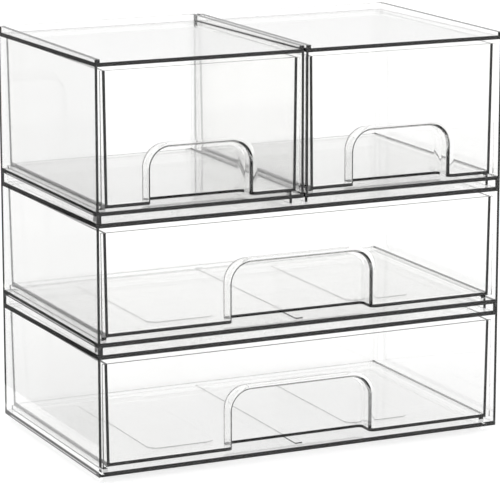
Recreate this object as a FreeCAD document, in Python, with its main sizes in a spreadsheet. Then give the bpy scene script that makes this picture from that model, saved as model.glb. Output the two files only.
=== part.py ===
import FreeCAD, Part
import os
import Sketcher
from FreeCAD import Vector

doc = FreeCAD.newDocument("stacking_drawers")

# Driving dimensions, in millimetres.
DIMENSIONS = [
    ("stack_width", 325.0, "outer width of a wide unit"),
    ("unit_gap", 1.5, "gap between the two small units"),
    ("depth", 190.0, "front to back of every case"),
    ("wide_height", 89.6, "bottom plate to top plate, wide unit"),
    ("small_height", 108.5, "bottom plate to top plate, small unit"),
    ("wide_plate", 3.3, "top and bottom plate of a wide case"),
    ("small_plate", 2.9, "top and bottom plate of a small case"),
    ("side_wall", 2.0, "side wall of a case"),
    ("back_wall", 2.2, "back wall of a case"),
    ("crown_drop", 2.3, "fall of the top plate from front to back"),
    ("rim_width", 3.9, "width of the stacking rim"),
    ("wide_rim", 5.15, "rim above the front of a wide top plate"),
    ("small_rim", 2.4, "rim above the front of a small top plate"),
    ("foot_height", 5.4, "depth of the foot under a case"),
    ("foot_wall", 2.2, "wall of the foot"),
    ("foot_inset", 4.4, "foot from the sides and the back"),
    ("foot_front", 10.0, "foot from the front"),
    ("foot_round", 5.0, "radius of the foot's two rear corners"),
    ("runner_inset", 6.0, "runner from the outside of the case"),
    ("runner_width", 4.0, "width of a side runner"),
    ("runner_start", 8.0, "runner from the front of the case"),
    ("spine_width", 5.6, "width of the middle rib of a wide floor"),
    ("spine_height", 0.8, "height of the middle rib of a wide floor"),
    ("panel_inner", 54.5, "raised floor panel, edge nearest the middle"),
    ("panel_outer", 107.5, "raised floor panel, outer edge"),
    ("panel_front", 36.0, "raised floor panel from the front"),
    ("panel_back", 14.0, "raised floor panel from the back"),
    ("panel_rise", 0.7, "height of the raised floor panel"),
    ("panel_round", 8.0, "corner radius of the raised floor panel"),
    ("wide_side_gap", 6.0, "drawer from the outside of a wide case"),
    ("small_side_gap", 5.3, "drawer from the outside of a small case"),
    ("small_shift", 1.2, "small drawer towards the middle of the stack"),
    ("wide_drawer_low", 6.9, "drawer above the underside of a wide case"),
    ("small_drawer_low", 4.9, "drawer above the underside of a small case"),
    ("wide_drawer_height", 75.4, "outside height of a wide drawer"),
    ("small_drawer_height", 97.5, "outside height of a small drawer"),
    ("drawer_wall", 2.2, "wall of a drawer"),
    ("flange", 1.6, "drawer front beyond each side of the tray"),
    ("drawer_floor", 1.8, "floor of a drawer"),
    ("draft", 1.1, "lean of the side and back walls of a drawer over their height"),
    ("front_setback", 1.3, "drawer front behind the case front"),
    ("tail_gap", 1.0, "drawer from the back wall"),
    ("floor_round", 1.2, "inner radius round the drawer floor"),
    ("wide_pull_width", 112.0, "width of the finger pull, wide drawer"),
    ("small_pull_width", 77.6, "width of the finger pull, small drawer"),
    ("wide_pull_height", 42.9, "height of the finger pull, wide drawer"),
    ("small_pull_height", 39.4, "height of the finger pull, small drawer"),
    ("pull_depth", 15.5, "depth of the finger pull"),
    ("pull_corner", 15.0, "radius of the arch's two corners"),
    ("pull_round", 3.0, "radius where the pull turns into its back"),
    ("pull_lip", 4.4, "radius round the front edge of the pull"),
    ("running_gap", 0.3, "drawer above its runners"),
]

sheet = doc.addObject("Spreadsheet::Sheet", "Dims")
for row, (alias, value, note) in enumerate(DIMENSIONS, start=1):
    sheet.set("A%d" % row, note)
    sheet.set("B%d" % row, str(value))
    sheet.setAlias("B%d" % row, alias)
doc.recompute()

# Sizes that follow from the sheet, written as expressions.
SMALL_WIDTH = "(Dims.stack_width - Dims.unit_gap) / 2"
SMALL_OFFSET = "(Dims.stack_width + Dims.unit_gap) / 4"
TRAY_OFFSET = SMALL_OFFSET + " - Dims.small_shift"
# The front end of each foot stands on the falling top plate of the unit below.
CROWN_RUN = "(Dims.depth - Dims.rim_width + 1)"
FALL = "Dims.crown_drop * (Dims.foot_front + 1) / " + CROWN_RUN
MID_BASE = "Dims.foot_height + Dims.wide_height - " + FALL
TOP_BASE = "2 * (%s)" % MID_BASE
FRONT = "-Dims.depth / 2"
BACK = "Dims.depth / 2"


def number(expression):
    """Value of an expression on the sheet."""
    return float(sheet.evalExpression(expression))


def near(a, b):
    return abs(a - b) < 0.02


def plane_of(body, role):
    """The body's own origin plane with this role."""
    return next(f for f in body.Origin.OriginFeatures if f.Role == role)


def hold(sketch, kind, line, expression):
    """Keep the start of a line at a distance from the sketch's origin."""
    value = number(expression)
    if value >= 0:
        constraint = Sketcher.Constraint(kind, -1, 1, line, 1, value)
    else:
        constraint = Sketcher.Constraint(kind, line, 1, -1, 1, -value)
        expression = "-(%s)" % expression
    index = sketch.addConstraint(constraint)
    sketch.setExpression("Constraints[%d]" % index, expression)


def outline(sketch, points):
    """Closed outline through points whose two coordinates are expressions."""
    spots = [Vector(number(a), number(b), 0) for a, b in points]
    first = sketch.GeometryCount
    for start, end in zip(spots, spots[1:] + spots[:1]):
        sketch.addGeometry(Part.LineSegment(start, end))
    count = len(points)
    for i in range(count):
        following = first + (i + 1) % count
        sketch.addConstraint(Sketcher.Constraint("Coincident", first + i, 2, following, 1))
    for i, (across, up) in enumerate(points):
        hold(sketch, "DistanceX", first + i, across)
        hold(sketch, "DistanceY", first + i, up)


def box_points(left, right, low, high):
    """The four corners between two positions across and two up."""
    return [(left, low), (right, low), (right, high), (left, high)]


def draw(body, name, role, height, outlines):
    """Sketch on one of the body's planes, moved out along its normal."""
    sketch = body.newObject("Sketcher::SketchObject", name)
    sketch.AttachmentSupport = [(plane_of(body, role), "")]
    sketch.MapMode = "FlatFace"
    if height:
        sketch.setExpression("AttachmentOffset.Base.z", height)
    for points in outlines:
        outline(sketch, points)
    return sketch


def pad(body, name, sketch, length, reverse=False):
    feature = body.newObject("PartDesign::Pad", name)
    feature.Profile = sketch
    feature.Reversed = reverse
    feature.setExpression("Length", length)
    grown(body, feature, 1)
    return feature


def pocket(body, name, sketch, length, midplane=False):
    feature = body.newObject("PartDesign::Pocket", name)
    feature.Profile = sketch
    feature.Midplane = midplane
    feature.setExpression("Length", length)
    grown(body, feature, -1)
    return feature


def grown(body, feature, sign):
    """Recompute, and stop unless the feature added or removed material."""
    doc.recompute()
    before = feature.BaseFeature.Shape.Volume if feature.BaseFeature else 0.0
    change = feature.Shape.Volume - before
    if change * sign <= 0:
        raise RuntimeError("%s in %s changes nothing" % (feature.Label, body.Label))


def round_edges(body, name, radius, chosen):
    """Fillet the edges of the body's tip that the test picks."""
    base = body.Tip
    edges = ["Edge%d" % (i + 1) for i, edge in enumerate(base.Shape.Edges) if chosen(edge)]
    if not edges:
        raise RuntimeError("no edge for %s in %s" % (name, body.Label))
    feature = body.newObject("PartDesign::Fillet", name)
    feature.Base = (base, edges)
    feature.setExpression("Radius", radius)
    doc.recompute()
    if not feature.Shape.isValid():
        raise RuntimeError("%s in %s failed" % (name, body.Label))
    return feature


def slope(body, name, angle, neutral, chosen, sign):
    """Lean the faces that the test picks about the level of their upper edge."""
    base = body.Tip
    faces = base.Shape.Faces
    leaning = ["Face%d" % (i + 1) for i, face in enumerate(faces) if chosen(face)]
    level = next(i for i, face in enumerate(faces) if flat_at(face, neutral))
    feature = body.newObject("PartDesign::Draft", name)
    feature.Base = (base, leaning)
    feature.NeutralPlane = (base, ["Face%d" % (level + 1)])
    feature.Reversed = sign < 0
    feature.setExpression("Angle", angle)
    grown(body, feature, sign)
    return feature


def flat_at(face, level):
    """A level face at this height."""
    box = face.BoundBox
    return near(box.ZMin, level) and near(box.ZMax, level)


def stands(face, low, high, behind):
    """A face that reaches from one level to another, behind the drawer front."""
    box = face.BoundBox
    return near(box.ZMin, low) and near(box.ZMax, high) and box.YMax > behind


def ends(edge):
    return [vertex.Point for vertex in edge.Vertexes]


def upright(edge, low, high):
    """A straight vertical edge between two levels."""
    if len(edge.Vertexes) != 2:
        return False
    a, b = sorted(ends(edge), key=lambda point: point.z)
    plumb = near(a.x, b.x) and near(a.y, b.y)
    return plumb and near(a.z, low) and near(b.z, high)


def new_body(label, across, base):
    body = doc.addObject("PartDesign::Body", label)
    body.Label = label
    if across:
        body.setExpression("Placement.Base.x", across)
    if base:
        body.setExpression("Placement.Base.z", base)
    return body


def make_case(label, across, base, width, height, plate, rim, runner, wide):
    """One open-fronted case: plates, walls, stacking rim, foot and runners."""
    body = new_body(label, across, base)
    half = "(%s) / 2" % width
    left = "-(%s)" % half
    top = "Dims.foot_height + %s" % height
    floor = "Dims.foot_height + %s" % plate

    block = draw(body, "Footprint", "XY_Plane", "Dims.foot_height", [box_points(left, half, FRONT, BACK)])
    pad(body, "Block", block, "%s + %s" % (height, rim))

    # The top plate lies inside the rim and falls a little towards the back.
    tray_back = "%s - Dims.rim_width" % BACK
    crown = [
        (FRONT + " - 1", top),
        (tray_back, "%s - Dims.crown_drop" % top),
        (tray_back, "%s + %s + 1" % (top, rim)),
        (FRONT + " - 1", "%s + %s + 1" % (top, rim)),
    ]
    crown_sketch = draw(body, "CrownProfile", "YZ_Plane", None, [crown])
    pocket(body, "Crown", crown_sketch, "%s - 2 * Dims.rim_width" % width, midplane=True)

    # The hollow for the drawer has the same fall in its ceiling as draft.
    inner_back = "%s - Dims.back_wall" % BACK
    hollow = [
        (FRONT + " - 1", floor),
        (inner_back, floor),
        (inner_back, "%s - %s - Dims.crown_drop" % (top, plate)),
        (FRONT + " - 1", "%s - %s" % (top, plate)),
    ]
    hollow_sketch = draw(body, "HollowProfile", "YZ_Plane", None, [hollow])
    pocket(body, "Hollow", hollow_sketch, "%s - 2 * Dims.side_wall" % width, midplane=True)

    # The foot drops inside the rim of the unit below: two skids joined across the back.
    foot_half = "%s - Dims.foot_inset" % half
    foot_front = FRONT + " + Dims.foot_front"
    foot_back = BACK + " - Dims.foot_inset"
    core_half = foot_half + " - Dims.foot_wall"
    core_back = foot_back + " - Dims.foot_wall"
    skids = [
        ("-(%s)" % foot_half, foot_front),
        ("-(%s)" % core_half, foot_front),
        ("-(%s)" % core_half, core_back),
        (core_half, core_back),
        (core_half, foot_front),
        (foot_half, foot_front),
        (foot_half, foot_back),
        ("-(%s)" % foot_half, foot_back),
    ]
    pad(body, "Foot", draw(body, "FootOutline", "XY_Plane", None, [skids]), "Dims.foot_height")
    foot_top = number("Dims.foot_height")
    rear = number(foot_back)

    def rear_corner(edge):
        return upright(edge, 0, foot_top) and near(ends(edge)[0].y, rear)

    round_edges(body, "FootCorners", "Dims.foot_round", rear_corner)

    # Two side runners carry the drawer, and a wide floor has a rib along its middle.
    near_side = "%s - Dims.runner_inset" % half
    far_side = near_side + " - Dims.runner_width"
    start = FRONT + " + Dims.runner_start"
    runners = [
        box_points(far_side, near_side, start, inner_back),
        box_points("-(%s)" % near_side, "-(%s)" % far_side, start, inner_back),
    ]
    runner_sketch = draw(body, "RunnerOutlines", "XY_Plane", floor, runners)
    pad(body, "Runners", runner_sketch, runner)

    if wide:
        spine = box_points("-Dims.spine_width / 2", "Dims.spine_width / 2", start, inner_back)
        pad(body, "Spine", draw(body, "SpineOutline", "XY_Plane", floor, [spine]), "Dims.spine_height")
        raise_panels(body, floor)
    return body


def raise_panels(body, floor):
    """Two low round-cornered panels on the floor of a wide case."""
    near_end = FRONT + " + Dims.panel_front"
    far_end = BACK + " - Dims.panel_back"
    panels = [
        box_points("Dims.panel_inner", "Dims.panel_outer", near_end, far_end),
        box_points("-Dims.panel_outer", "-Dims.panel_inner", near_end, far_end),
    ]
    sketch = draw(body, "PanelOutlines", "XY_Plane", floor, panels)
    pad(body, "Panels", sketch, "Dims.panel_rise")
    low = number(floor)
    high = low + number("Dims.panel_rise")
    round_edges(body, "PanelCorners", "Dims.panel_round", lambda e: upright(e, low, high))


def make_drawer(label, across, base, width, side_gap, height, pull_width, pull_height):
    """One open tray with leaning walls, a wider front and an arched finger pull in it."""
    body = new_body(label + "_tray", across, base)
    front = FRONT + " + Dims.front_setback"
    back = BACK + " - Dims.back_wall - Dims.tail_gap"
    half = "(%s) / 2 - %s" % (width, side_gap)
    wall = "Dims.drawer_wall"

    # The front reaches past the sides of the tray as a flange.
    flange_back = "%s + %s" % (front, wall)
    wing = half + " + Dims.flange"
    inner = "%s - %s" % (half, wall)
    footprint = [
        ("-(%s)" % wing, front),
        (wing, front),
        (wing, flange_back),
        (half, flange_back),
        (half, back),
        ("-(%s)" % half, back),
        ("-(%s)" % half, flange_back),
        ("-(%s)" % wing, flange_back),
    ]
    room = box_points("-(%s)" % inner, inner, flange_back, "%s - %s" % (back, wall))

    # The sides and the back lean in towards the floor, and the front stands plumb.
    lean = "atan(Dims.draft / %s)" % height
    lip = number(height)
    floor_level = number("Dims.drawer_floor")
    behind = number(flange_back) + 1
    pad(body, "Outside", draw(body, "Footprint", "XY_Plane", None, [footprint]), height)
    slope(body, "OutsideLean", lean, lip, lambda f: stands(f, 0, lip, behind), -1)
    pocket(body, "Inside", draw(body, "Room", "XY_Plane", height, [room]), "%s - Dims.drawer_floor" % height)
    slope(body, "InsideLean", lean, lip, lambda f: stands(f, floor_level, lip, behind), 1)
    round_edges(body, "InnerCorners", "Dims.floor_round", lambda e: lies_at(e, floor_level))

    # The pull is a recess open to the front and below, in a housing of even wall.
    inside_wall = "%s + 0.75 * %s" % (front, wall)
    recess_back = "%s + Dims.pull_depth" % front
    housing = arch_form(
        label + "_housing", across, base, inside_wall, "%s + %s" % (recess_back, wall),
        pull_width, pull_height, "0", wall)
    recess = arch_form(
        label + "_recess", across, base, front + " - 1", recess_back,
        pull_width, pull_height, "-1", "0")
    housed = join("Fuse", label + "_housed", body, housing)
    opened = join("Cut", label + "_opened", housed, recess)
    drawer = doc.addObject("Part::Fillet", label)
    drawer.Base = opened
    radius = number("Dims.pull_lip")
    drawer.Edges = [(index, radius, radius) for index in lip_edges(opened.Shape)]
    doc.recompute()
    drawer.Label = label
    return drawer


def lies_at(edge, level):
    """An edge in the horizontal plane at this level."""
    return all(near(point.z, level) for point in ends(edge))


def lip_edges(shape):
    """Numbers of the edges round the pull in the front face of a drawer."""
    spots = [vertex.Point for vertex in shape.Vertexes]
    front = min(spot.y for spot in spots)
    sides = [min(spot.x for spot in spots), max(spot.x for spot in spots)]
    levels = [min(spot.z for spot in spots), max(spot.z for spot in spots)]
    found = []
    for index, edge in enumerate(shape.Edges, start=1):
        points = ends(edge)
        in_front = all(near(point.y, front) for point in points)
        at_side = any(all(near(point.x, side) for point in points) for side in sides)
        at_level = any(all(near(point.z, level) for point in points) for level in levels)
        if in_front and not at_side and not at_level:
            found.append(index)
    return found


def arch_form(label, across, base, near_face, far_face, width, height, foot, wall):
    """Solid arch with rounded shoulders and a back edge that is rounded all the way round."""
    body = new_body(label, across, base)
    half = "%s / 2 + %s" % (width, wall)
    crest = "%s + %s" % (height, wall)
    outline_sketch = draw(
        body, "ArchOutline", "XZ_Plane", "-(%s)" % near_face,
        [box_points("-(%s)" % half, half, foot, crest)])
    pad(body, "Arch", outline_sketch, "%s - (%s)" % (far_face, near_face), reverse=True)
    shoulder_x = number(half)
    shoulder_z = number(crest)
    corner = "Dims.pull_corner + %s" % wall
    round_edges(body, "Shoulders", corner, lambda e: along_shoulder(e, shoulder_x, shoulder_z))
    back_y = number(far_face)
    foot_z = number(foot)
    turn = "Dims.pull_round + %s" % wall
    round_edges(body, "Back", turn, lambda e: on_back(e, back_y, foot_z))
    return body


def along_shoulder(edge, x, z):
    """An edge that runs front to back at one of the two upper corners."""
    points = ends(edge)
    level = all(near(abs(point.x), x) and near(point.z, z) for point in points)
    return level and near(points[0].x, points[-1].x)


def on_back(edge, y, foot):
    """An edge of the arch in the plane of its back, its foot left out."""
    points = ends(edge)
    along_foot = all(near(point.z, foot) for point in points)
    return all(near(point.y, y) for point in points) and not along_foot


def join(kind, label, base, tool):
    """Fuse or cut two shapes of the document into one."""
    result = doc.addObject("Part::" + kind, label)
    result.Base = base
    result.Tool = tool
    doc.recompute()
    return result


def wide_unit(place, base):
    case_height = "Dims.wide_height"
    runner = "Dims.wide_drawer_low - Dims.wide_plate - Dims.running_gap"
    case = make_case(
        place + "_case", None, base, "Dims.stack_width", case_height,
        "Dims.wide_plate", "Dims.wide_rim", runner, True)
    drawer_base = "Dims.foot_height + Dims.wide_drawer_low"
    if base:
        drawer_base = "%s + %s" % (base, drawer_base)
    drawer = make_drawer(
        place + "_drawer", None, drawer_base, "Dims.stack_width", "Dims.wide_side_gap",
        "Dims.wide_drawer_height", "Dims.wide_pull_width", "Dims.wide_pull_height")
    return [case, drawer]


def small_unit(place, across, drawer_across):
    runner = "Dims.small_drawer_low - Dims.small_plate - Dims.running_gap"
    case = make_case(
        place + "_case", across, TOP_BASE, SMALL_WIDTH, "Dims.small_height",
        "Dims.small_plate", "Dims.small_rim", runner, False)
    drawer_base = "%s + Dims.foot_height + Dims.small_drawer_low" % TOP_BASE
    drawer = make_drawer(
        place + "_drawer", drawer_across, drawer_base, SMALL_WIDTH, "Dims.small_side_gap",
        "Dims.small_drawer_height", "Dims.small_pull_width", "Dims.small_pull_height")
    return [case, drawer]


pieces = wide_unit("bottom", None)
pieces += wide_unit("middle", MID_BASE)
pieces += small_unit("upper_left", "-(%s)" % SMALL_OFFSET, "-(%s)" % TRAY_OFFSET)
pieces += small_unit("upper_right", SMALL_OFFSET, TRAY_OFFSET)
doc.recompute()

for item in doc.Objects:
    if "Invalid" in item.State or "Error" in item.State:
        raise RuntimeError("%s failed: %s" % (item.Label, item.State))

os.makedirs("parts", exist_ok=True)
for piece in pieces:
    shape = piece.Shape
    if shape.isNull() or not shape.isValid() or len(shape.Solids) != 1:
        raise RuntimeError("%s is not one valid solid" % piece.Label)
    print("%-20s %9.0f mm3" % (piece.Label, shape.Volume))
    shape.exportStep("parts/%s.step" % piece.Label)
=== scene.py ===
from math import radians

import bpy
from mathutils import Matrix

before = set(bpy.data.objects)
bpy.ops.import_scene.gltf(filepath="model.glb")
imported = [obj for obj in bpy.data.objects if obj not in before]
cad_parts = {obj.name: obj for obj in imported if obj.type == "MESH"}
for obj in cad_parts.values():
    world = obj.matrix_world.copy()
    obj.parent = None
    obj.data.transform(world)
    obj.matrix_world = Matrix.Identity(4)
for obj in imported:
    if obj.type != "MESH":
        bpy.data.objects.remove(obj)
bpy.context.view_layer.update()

# Clear moulded plastic, whose edges look dark because they trap the light that enters them.
PLASTIC_IOR = 1.49
CLEARNESS = 0.993
CASE_TINTS = ((0.998, 0.998, 0.995, 1.0), (1.0, 1.0, 0.998, 1.0))
DRAWER_TINTS = ((0.999, 0.999, 0.996, 1.0), (1.0, 1.0, 0.999, 1.0))
TINT_STOPS = (0.35, 0.65)
# Painted shade: this factor scales down the colour of the small units' side walls so that they read
# darker.
SMALL_SIDES_PAINTED_SHADE = 0.978
FLOW_SCALE = 9.0
FLOW_DETAIL = 2.0
HAZE_SCALE = 55.0
HAZE_DETAIL = 3.0
HAZE_ROUGHNESS = 0.006

# Studio: white surroundings, one large soft lamp and a pale matt floor.
WHITE = (1.0, 1.0, 1.0, 1.0)
ROOM_LIGHT = 0.85
ROOM_MIRRORED = 0.1
FLOOR_HALF = 6.0
FLOOR_PAINT = (0.42, 0.42, 0.42, 1.0)
FLOOR_ROUGHNESS = 0.9
FLOOR_LIFT = 0.75
FLOOR_MIRRORED = 1.0
LAMP_PLACE = (-1.6, -2.2, 3.0)
LAMP_TILT = (38.0, 0.0, -36.0)
LAMP_SIZE = 2.6
LAMP_POWER = 22.0

# A grey card beside the stack, which only mirrored rays see, keeps the left edges dark.
FLAG_SIDE = -0.2
FLAG_REACH = (-0.35, 0.35)
FLAG_RISE = (0.0, 0.45)
FLAG_TONE = (0.55, 0.55, 0.55, 1.0)
FLAG_ROUGHNESS = 1.0

# Camera, fitted to the edges of the cases.
CAMERA_PLACE = (-0.9085, -1.9233, 0.6003)
CAMERA_HEADING = -25.316
CAMERA_DIP = 12.1
LENS_MM = 207.4
SENSOR_MM = 36.0
CAMERA_REACH = 50.0

# A look straight through the stack crosses some thirty faces.
FACES_IN_LINE = 32


def new_material(name):
    """A node material, its node tree and its Principled shader."""
    material = bpy.data.materials.new(name)
    material.use_nodes = True
    tree = material.node_tree
    return material, tree, tree.nodes["Principled BSDF"]


def add_to_scene(name, data):
    """A new object that holds the data."""
    thing = bpy.data.objects.new(name, data)
    bpy.context.scene.collection.objects.link(thing)
    return thing


def add_sheet(name, corners, material):
    """A flat sheet between four corners."""
    mesh = bpy.data.meshes.new(name)
    mesh.from_pydata(corners, [], [(0, 1, 2, 3)])
    mesh.materials.append(material)
    return add_to_scene(name, mesh)


def noise(tree, scale, detail):
    """Noise over the object's own coordinates."""
    place = tree.nodes.new("ShaderNodeTexCoord")
    texture = tree.nodes.new("ShaderNodeTexNoise")
    texture.inputs["Scale"].default_value = scale
    texture.inputs["Detail"].default_value = detail
    tree.links.new(place.outputs["Object"], texture.inputs["Vector"])
    return texture.outputs["Fac"]


def ramp(tree, factor, tints):
    """Colour that goes from one tint to another with the factor."""
    node = tree.nodes.new("ShaderNodeValToRGB")
    for stop, position, tint in zip(node.color_ramp.elements, TINT_STOPS, tints):
        stop.position = position
        stop.color = tint
    tree.links.new(factor, node.inputs["Fac"])
    return node.outputs["Color"]


def spread(tree, factor, low, high):
    """Number that goes from one value to another with the factor."""
    node = tree.nodes.new("ShaderNodeMapRange")
    node.inputs["To Min"].default_value = low
    node.inputs["To Max"].default_value = high
    tree.links.new(factor, node.inputs["Value"])
    return node.outputs["Result"]


def axes(tree, vector):
    """The three numbers of a vector."""
    node = tree.nodes.new("ShaderNodeSeparateXYZ")
    tree.links.new(vector, node.inputs["Vector"])
    return node.outputs


def maths(tree, operation, first, second=None):
    """One step of arithmetic on numbers or sockets."""
    node = tree.nodes.new("ShaderNodeMath")
    node.operation = operation
    for socket, value in zip(node.inputs, (first, second)):
        if isinstance(value, float):
            socket.default_value = value
        elif value is not None:
            tree.links.new(value, socket)
    return node.outputs["Value"]


def times(tree, colour, number):
    """Colour scaled by a number."""
    node = tree.nodes.new("ShaderNodeVectorMath")
    node.operation = "SCALE"
    tree.links.new(colour, node.inputs["Vector"])
    tree.links.new(number, node.inputs["Scale"])
    return node.outputs["Vector"]


def rim_height():
    """Height of the middle case's rim, inside which the small units stand."""
    return max(vertex.co.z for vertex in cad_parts["middle_case"].data.vertices)


def small_sides_shade_mask(tree):
    """Mask for the painted shade: 1 on the side walls of the small units and 0 elsewhere, in the
    object's own axes.
    """
    place = tree.nodes.new("ShaderNodeTexCoord").outputs
    upper = maths(tree, "GREATER_THAN", axes(tree, place["Object"])["Z"], rim_height())
    across = maths(tree, "ABSOLUTE", axes(tree, place["Normal"])["X"])
    return maths(tree, "MULTIPLY", upper, across)


def clear_plastic(name, tints):
    """Clear moulded plastic with a trace of haze, with painted shade that darkens the small units'
    sides.
    """
    material, tree, shader = new_material(name)
    shader.inputs["IOR"].default_value = PLASTIC_IOR
    shader.inputs["Transmission Weight"].default_value = CLEARNESS
    drift = ramp(tree, noise(tree, FLOW_SCALE, FLOW_DETAIL), tints)
    # Painted shade: the small units' side walls are darkened in the base colour.
    painted_side_shade = spread(tree, small_sides_shade_mask(tree), 1.0, SMALL_SIDES_PAINTED_SHADE)
    tree.links.new(times(tree, drift, painted_side_shade), shader.inputs["Base Color"])
    haze = spread(tree, noise(tree, HAZE_SCALE, HAZE_DETAIL), 0.0, HAZE_ROUGHNESS)
    tree.links.new(haze, shader.inputs["Roughness"])
    return material


def dress_nodes():
    """Give each case and each drawer its plastic."""
    plastics = {
        "case": clear_plastic("clear_case", CASE_TINTS),
        "drawer": clear_plastic("clear_drawer", DRAWER_TINTS),
    }
    for name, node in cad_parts.items():
        node.data.materials.clear()
        node.data.materials.append(plastics[name.rsplit("_", 1)[1]])


def seen_directly(tree, mirrored):
    """1 for a ray from the camera or through clear plastic, and a share of it for a mirrored one."""
    path = tree.nodes.new("ShaderNodeLightPath").outputs
    through = maths(tree, "MAXIMUM", path["Is Camera Ray"], path["Is Transmission Ray"])
    reflected = maths(tree, "MULTIPLY", path["Is Glossy Ray"], mirrored)
    return maths(tree, "MAXIMUM", through, reflected)


def light_room():
    """White surroundings, which light the stack a little less brightly than they look."""
    world = bpy.data.worlds.new("studio")
    bpy.context.scene.world = world
    world.use_nodes = True
    tree = world.node_tree
    background = tree.nodes["Background"]
    background.inputs["Color"].default_value = WHITE
    strength = spread(tree, seen_directly(tree, ROOM_MIRRORED), ROOM_LIGHT, 1.0)
    tree.links.new(strength, background.inputs["Strength"])


def hang_lamp():
    """One large soft lamp, high at the front left."""
    light = bpy.data.lights.new("soft_lamp", "AREA")
    light.size = LAMP_SIZE
    light.energy = LAMP_POWER
    lamp = add_to_scene("soft_lamp", light)
    lamp.location = LAMP_PLACE
    lamp.rotation_euler = [radians(angle) for angle in LAMP_TILT]


def floor_material():
    """Pale matt paint that reads as white where nothing shades it."""
    material, tree, shader = new_material("pale_floor")
    shader.inputs["Base Color"].default_value = FLOOR_PAINT
    shader.inputs["Roughness"].default_value = FLOOR_ROUGHNESS
    shader.inputs["Emission Color"].default_value = WHITE
    lift = spread(tree, seen_directly(tree, FLOOR_MIRRORED), 0.0, FLOOR_LIFT)
    tree.links.new(lift, shader.inputs["Emission Strength"])
    return material


def lay_floor():
    """A wide floor, level with the bottom unit's foot."""
    around = ((-1, -1), (1, -1), (1, 1), (-1, 1))
    corners = [(FLOOR_HALF * x, FLOOR_HALF * y, 0.0) for x, y in around]
    floor = add_sheet("floor", corners, floor_material())


def card_material():
    """Matt grey card."""
    material, _, shader = new_material("dark_card")
    shader.inputs["Base Color"].default_value = FLAG_TONE
    shader.inputs["Roughness"].default_value = FLAG_ROUGHNESS
    return material


def hang_flag():
    """The upright card at the left, kept out of everything but mirrored rays."""
    near, far = FLAG_REACH
    low, high = FLAG_RISE
    around = ((near, low), (far, low), (far, high), (near, high))
    corners = [(FLAG_SIDE, y, z) for y, z in around]
    flag = add_sheet("flag", corners, card_material())
    flag.visible_camera = False
    flag.visible_diffuse = False
    flag.visible_transmission = False
    flag.visible_shadow = False


def place_camera():
    """A long lens from the front left, a little above the stack."""
    lens = bpy.data.cameras.new("camera")
    lens.lens = LENS_MM
    lens.sensor_width = SENSOR_MM
    lens.clip_end = CAMERA_REACH
    camera = add_to_scene("camera", lens)
    camera.location = CAMERA_PLACE
    camera.rotation_euler = (radians(90.0 - CAMERA_DIP), 0.0, radians(CAMERA_HEADING))
    bpy.context.scene.camera = camera


def set_bounces():
    """Let a ray cross every face in its way."""
    cycles = bpy.context.scene.cycles
    cycles.max_bounces = FACES_IN_LINE
    cycles.transmission_bounces = FACES_IN_LINE


dress_nodes()
light_room()
hang_lamp()
lay_floor()
hang_flag()
place_camera()
bpy.context.scene.view_settings.view_transform = "Standard"
set_bounces()
